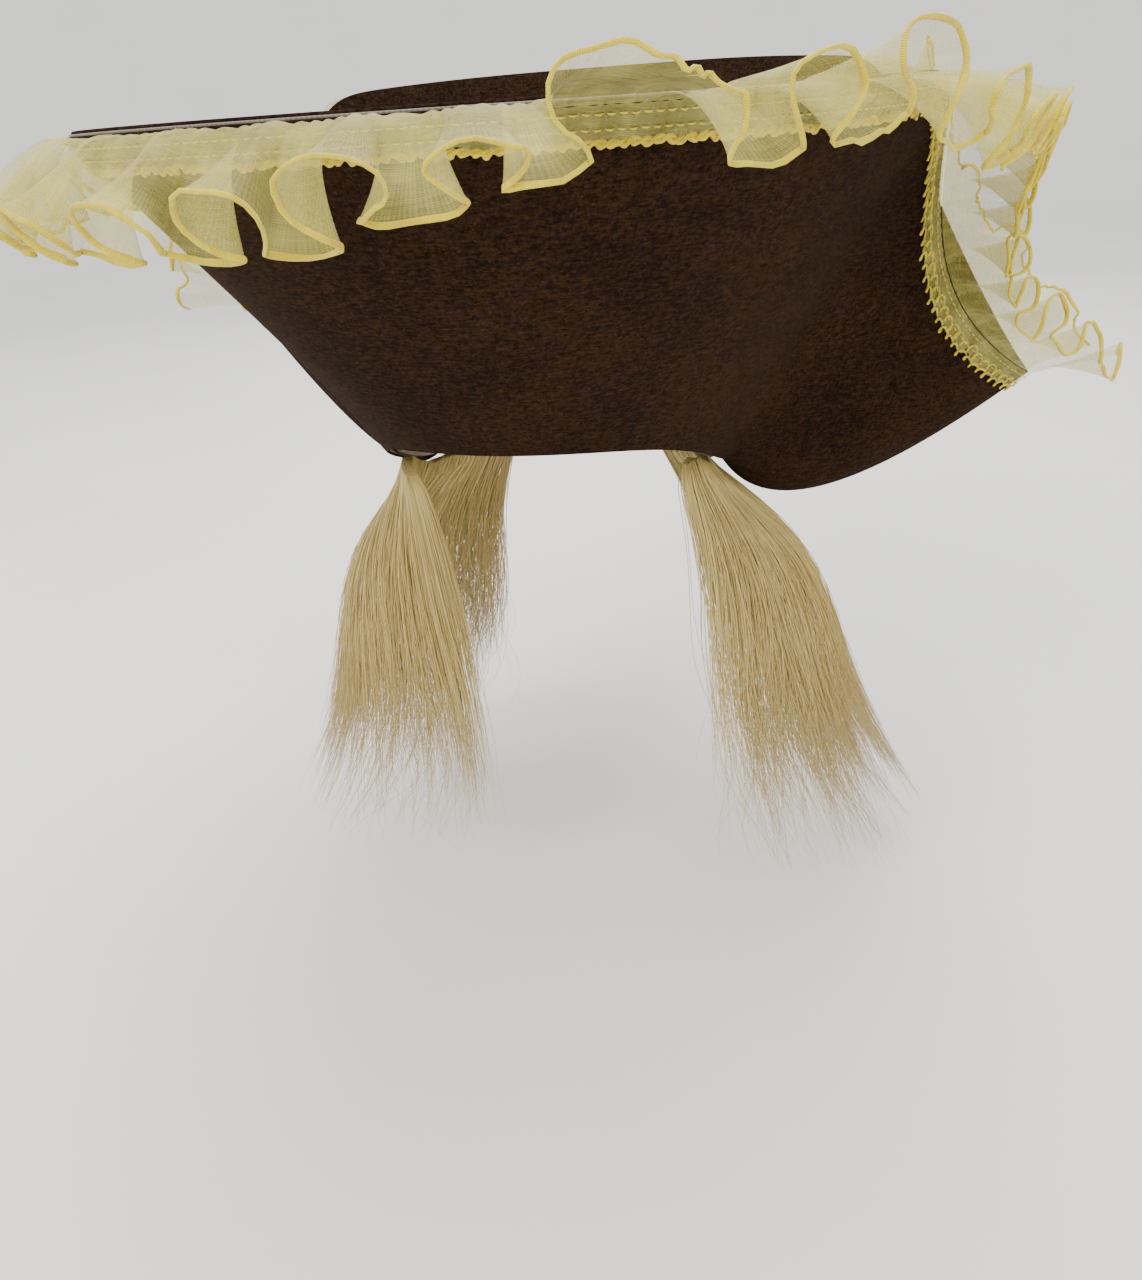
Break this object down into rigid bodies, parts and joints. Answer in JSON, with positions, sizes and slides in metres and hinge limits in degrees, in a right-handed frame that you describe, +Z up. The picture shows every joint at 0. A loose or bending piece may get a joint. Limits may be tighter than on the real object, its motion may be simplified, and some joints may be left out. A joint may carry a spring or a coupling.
{
  "type": "pirate hat",
  "caption": "Three-cornered felt pirate hat with the brim turned up, a gathered organza ruffle along its edge and blonde hair locks hanging inside the rim.",
  "frame": {"origin": "centre of the head opening, in the plane of the front of the rim", "axes": "+Z up through the crown, -Y towards the wide front wall, +X towards the longer corner"},
  "size_m": [0.5265, 0.5051, 0.4447],
  "materials": {
    "crown_felt": "needled felt",
    "felt_thread": "matt thread",
    "lining": "plain lining cloth",
    "sweatband": "ribbed grosgrain ribbon",
    "brim_felt": "needled felt",
    "stiffener": "woven buckram",
    "inner_felt": "needled felt",
    "organza_header": "sheer crisp organza",
    "looped_braid": "looped overlock thread",
    "gold_thread": "twisted thread",
    "organza_ruffle": "sheer crisp organza",
    "gold_edging": "dense overlock thread",
    "weft_tape": "woven tape",
    "hair": "straight blonde synthetic fibre"
  },
  "bodies": {
    "hat": {"crown_top": "crown_felt", "crown_side": "crown_felt", "crown_top_stitches": "felt_thread", "lining_top": "lining", "lining_side": "lining", "sweatband": "sweatband", "brim_outer_felt": "brim_felt", "brim_stiffener": "stiffener", "brim_inner_felt": "inner_felt", "header_front": "organza_header", "header_right": "organza_header", "header_left": "organza_header", "braid_front": "looped_braid", "braid_right": "looped_braid", "braid_left": "looped_braid", "header_top_stitches": "gold_thread", "header_lower_stitches": "gold_thread", "ruffle_front": "organza_ruffle", "ruffle_right": "organza_ruffle", "ruffle_left": "organza_ruffle", "edging_front": "gold_edging", "edging_right": "gold_edging", "edging_left": "gold_edging", "weft_right": "weft_tape", "weft_left": "weft_tape"},
    "hair_right_front": {"hair_right_front": "hair"},
    "hair_right_rear": {"hair_right_rear": "hair"},
    "hair_left_rear": {"hair_left_rear": "hair"},
    "hair_left_front": {"hair_left_front": "hair"}
  },
  "joints": [
    {"name": "hair_right_front_swing", "type": "hinge", "parent": "hat", "child": "hair_right_front", "pos_m": [0.07311, -0.0262, -0.02425], "axis": [-0.2401, -0.9707, 0], "range_deg": [0, 10]},
    {"name": "hair_right_rear_swing", "type": "hinge", "parent": "hat", "child": "hair_right_rear", "pos_m": [0.06536, 0.04751, -0.03984], "axis": [0.4485, -0.8938, 0], "range_deg": [0, 10]},
    {"name": "hair_left_rear_swing", "type": "hinge", "parent": "hat", "child": "hair_left_rear", "pos_m": [-0.06536, 0.04751, -0.03984], "axis": [0.4485, 0.8938, 0], "range_deg": [0, 10]},
    {"name": "hair_left_front_swing", "type": "hinge", "parent": "hat", "child": "hair_left_front", "pos_m": [-0.07311, -0.0262, -0.02425], "axis": [-0.2401, 0.9707, 0], "range_deg": [0, 10]}
  ]
}
